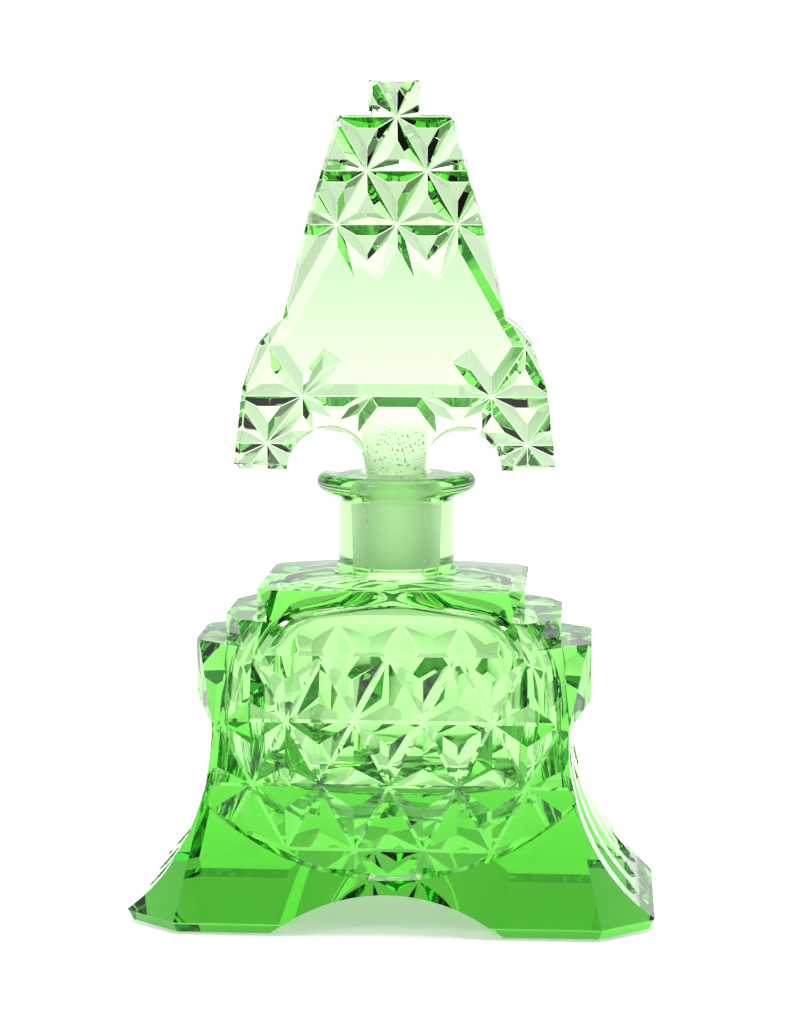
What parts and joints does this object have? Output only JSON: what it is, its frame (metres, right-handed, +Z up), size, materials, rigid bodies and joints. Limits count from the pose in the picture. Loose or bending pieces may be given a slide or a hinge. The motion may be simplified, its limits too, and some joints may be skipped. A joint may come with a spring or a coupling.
{
  "type": "stoppered perfume bottle",
  "caption": "Cut-pattern green glass perfume bottle with a stepped shoulder, flared foot and a lift-out ground stopper with a tall tent-shaped head.",
  "frame": {"origin": "centre of the foot's underside, on the table plane", "axes": "+Z up along the neck, -Y out of the broad front face, +X to the right as seen from the front"},
  "size_m": [0.0914, 0.049, 0.145],
  "materials": {
    "bottle_glass": "polished, transparent green; frosted inside the ground bore",
    "stopper_glass": "polished, transparent pale green; frosted on the ground plug"
  },
  "bodies": {
    "bottle": {"bottle": "bottle_glass"},
    "stopper": {"stopper": "stopper_glass"}
  },
  "joints": [
    {"name": "stopper_lift", "type": "slide", "parent": "bottle", "child": "stopper", "axis": [0, 0, 1], "range_m": [0, 0.025]}
  ]
}
